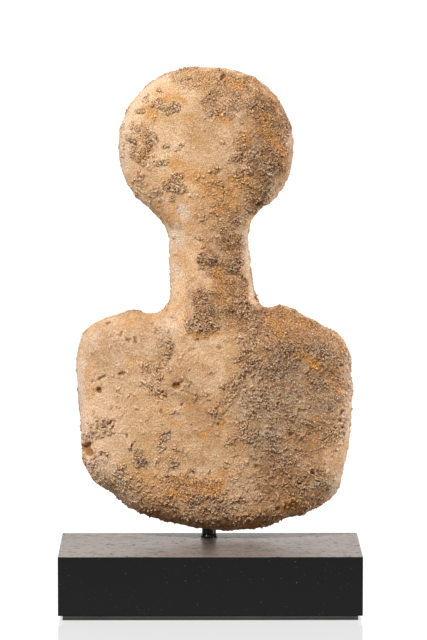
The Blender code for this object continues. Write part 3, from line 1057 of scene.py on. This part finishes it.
def marble_material():
    """Honey and cream stone under film, stains and crust, which it finds by the masks that carving leaves."""
    made = Surface("encrusted_marble", 0.62, specular=0.15)
    crust, clump, film_and_shade, stain = (made.mask(name) for name in ("crust", "clump", "film_and_shade", "stain"))
    pale_and_rim_light, grey, pit = made.mask("pale_and_rim_light"), made.mask("grey"), made.mask("pit")
    hollow, proud = made.mask("hollow"), made.mask("proud")
    drift = made.noise(13.0 * MM, 4.0)
    patch = made.noise(4.2 * MM, 5.0, 0.6)
    blotch = made.noise(1.9 * MM, 4.0, 0.6)
    crumb = made.noise(0.9 * MM, 4.0, 0.7)
    sugar = made.noise(0.40 * MM, 2.0, 0.6)
    number = made.grain_number(made.warped(0.8 * MM, 0.9 * MM), 0.60 * MM)
    rough = made.maths("MAXIMUM", crust, clump)

    tone = made.mix(made.band(drift, 0.38, 0.62), HONEY, CREAM)
    tone = made.mix(made.band(patch, 0.52, 0.72, 0.0, 0.20), tone, RUST)
    # Pale stone, and along the edges painted rim light
    tone = made.mix(made.times(pale_and_rim_light, made.band(crumb, 0.3, 0.6, 0.5, 1.0)), tone, CHALK)
    tone = made.mix(made.times(crust, made.band(patch, 0.35, 0.65, 0.80, 0.20)), tone, TAN)
    film_and_shade_share = made.times(made.band(patch, 0.30, 0.66, 0.50, 1.0), made.band(blotch, 0.36, 0.62, 0.50, 1.0))
    # Brown film in umber, and along the foot painted shade
    tone = made.mix(made.times(film_and_shade, film_and_shade_share), tone, UMBER)
    tone = made.mix(made.times(stain, made.band(patch, 0.3, 0.6, 0.4, 0.9)), tone, RUST)
    mottled = made.mix(made.band(blotch, 0.44, 0.60), SLATE, ASH)
    tone = made.mix(made.times(grey, made.band(patch, 0.3, 0.6, 0.35, 0.85)), tone, mottled)
    tone = made.mix(made.times(clump, 0.10), tone, SLATE)
    tone = made.mix(made.times(rough, made.band(number, 0.05, 0.40, 0.45, 0.0)), tone, UMBER)
    tone = made.mix(made.times(crust, made.band(number, 0.95, 0.96, 0.0, 0.40)), tone, AMBER_FLECK_AND_HIGHLIGHT)
    # Painted shade, with the crust's dark dirt, in the hollows and grooves
    tone = made.mix(made.times(hollow, made.band(rough, 0.0, 1.0, 0.45, 0.80)), tone, SOOT_AND_SHADE)
    # Painted highlight: raised tops lighter, peach, and amber where stained
    lit_tops = made.times(proud, made.maths("MAXIMUM", made.band(film_and_shade, 0.0, 1.0, 0.65, 0.45), stain))
    tone = made.mix(lit_tops, tone, made.mix(stain, PEACH_HIGHLIGHT, AMBER_FLECK_AND_HIGHLIGHT))
    tone = made.mix(made.times(pit, 0.85), tone, OCHRE)
    dark, light = made.mix(rough, DEEPER, DEEPEST), made.mix(rough, LIGHTER, LIGHTEST)
    made.colour(made.mix(1.0, tone, made.mix(made.band(sugar, 0.36, 0.64), dark, light), "MULTIPLY"))
    made.roughness(made.band(crust, 0.0, 1.0, 0.55, 0.9))
    fine = made.times(sugar, made.band(rough, 0.0, 1.0, 0.32 * MM, 0.5 * MM))
    coarse = made.times(crumb, made.band(rough, 0.0, 1.0, 0.38 * MM, 0.7 * MM))
    made.bump(made.maths("ADD", fine, coarse))
    return made.material


def lacquer_material():
    """Black lacquer, lighter on top with dust and a painted sheen, and with less of both in the strip in
    front of the rod, which paints the rod's reflection and shadow there.
    """
    made = Surface("black_lacquer_worn", 0.22, ior=1.3, specular=0.2)
    normal = made.add("NewGeometry", {}).outputs["Normal"]
    upward = made.add("SeparateXYZ", {"Vector": normal}).outputs["Z"]
    top = made.band(upward, 0.6, 0.9)
    streak = made.noise(2.0 * MM, 4.0, 0.6, (0.25, 1.0, 1.0))
    pores = made.band(made.noise(0.9 * MM, 2.0, 0.6, (0.45, 1.0, 1.0)), 0.62, 0.70)
    scuffs = made.band(made.noise(1.6 * MM, 3.0, 0.6, (0.25, 1.2, 1.0)), 0.62, 0.70)
    worn_spots = made.band(made.noise(9.0 * MM, 2.0, 0.5, (0.6, 1.6, 1.0)), 0.52, 0.60)
    lines = made.band(made.noise(0.8 * MM, 4.0, 0.7, (0.4, 1.0, 1.0)), 0.50, 0.60)
    scratches = made.times(worn_spots, lines)
    specks = made.band(made.noise(0.5 * MM, 1.0, 0.5), 0.74, 0.78)
    # A strip in front of the rod, fading towards the front edge, with less dust and sheen: a painted dark
    # streak of the rod's reflection and shadow
    rod = rod_axis()
    place = made.add("SeparateXYZ", {"Vector": made.place}).outputs
    aside = made.maths("ABSOLUTE", made.maths("SUBTRACT", place["X"], rod.x), 0.0)
    before = made.band(place["Y"], rod.y - 1.0 * MM, rod.y + 0.5 * MM, 1.0, 0.0)
    front = cad_box[0].y
    fading = made.times(before, made.band(place["Y"], front, rod.y, 0.22, 1.0))
    ragged = made.maths("ADD", aside, made.times(made.noise(1.6 * MM, 3.0), 1.2 * MM))
    rod_streak = made.times(fading, made.band(ragged, 1.2 * MM, 4.6 * MM, 0.85, 0.0))
    # The top is lighter with dust and a painted sheen
    top_dust_and_sheen = made.times(top, made.maths("SUBTRACT", 1.0, rod_streak))
    dust_and_sheen = made.times(top_dust_and_sheen, made.band(streak, 0.3, 0.7, 0.75, 1.0))
    tone = made.mix(dust_and_sheen, made.mix(specks, LACQUER, DUST_AND_SHEEN), DUST_AND_SHEEN)
    bare = made.maths("MAXIMUM", pores, made.times(scratches, 0.8))
    made.colour(made.mix(made.times(top, bare), tone, LACQUER))
    uneven_patches = made.maths("ADD", made.times(scuffs, 0.25), made.times(pores, 0.35))
    dull = made.maths("ADD", uneven_patches, made.times(dust_and_sheen, 0.08))
    made.roughness(made.maths("ADD", made.band(streak, 0.3, 0.7, 0.19, 0.27), dull))
    low = made.times(made.times(top, pores), -0.05 * MM)
    made.bump(made.maths("ADD", low, made.times(made.noise(0.7 * MM, 3.0), 0.012 * MM)))
    return made.material


def steel_material():
    made = Surface("black_steel_gloss", 0.2, ior=1.45)
    made.colour(made.mix(made.noise(1.5 * MM), STEEL, STEEL_LIGHTER))
    made.roughness(made.band(made.noise(0.8 * MM), 0.3, 0.7, 0.12, 0.3))
    made.bump(made.times(made.noise(0.5 * MM), 0.01 * MM))
    return made.material


def felt_material():
    made = Surface("dark_felt", 0.95)
    fibres = made.noise(0.35 * MM, 4.0, 0.7)
    height = made.add("SeparateXYZ", {"Vector": made.place}).outputs["Z"]
    # Lighter patches, kept off the lowest 0.2 mm, so the felt is darker towards the bottom
    upper_patches = made.noise(5.0 * MM, 2.0, 0.5, (0.4, 1.0, 1.0))
    uneven_patches = made.times(upper_patches, made.band(height, 0.2 * MM, 0.9 * MM))
    tone = made.mix(fibres, FELT, FELT_LIGHTER)
    made.colour(made.mix(uneven_patches, tone, FELT_LIGHTER_ABOVE))
    made.bump(made.times(fibres, 0.15 * MM))
    return made.material


def grey_tone(value):
    return (value, value, value)


def floor_material():
    made = Surface("pale_floor", 0.10, ior=1.45)
    cloud = made.noise(60.0 * MM)
    made.colour(made.mix(cloud, grey_tone(FLOOR_TONE - 0.01), grey_tone(FLOOR_TONE + 0.01)))
    along = made.add("SeparateXYZ", {"Vector": made.place}).outputs["Y"]
    nearer = made.band(along, *FLOOR_FADES)
    made.glow(made.mix(nearer, grey_tone(FLOOR_FAR_GLOW), grey_tone(FLOOR_NEAR_GLOW)))
    return made.material


def backdrop_material():
    made = Surface("lit_backdrop", 0.9)
    made.colour(grey_tone(0.0))
    made.glow(grey_tone(BACKDROP_GLOW))
    return made.material


def dress(node, material):
    node.data.materials.clear()
    node.data.materials.append(material)


add_camera()
add_studio()
idol_pieces(frame)
block_piece(frame)
dress(frame["nodes"]["mount_rod"], steel_material())
dress(frame["nodes"]["base_pad"], felt_material())
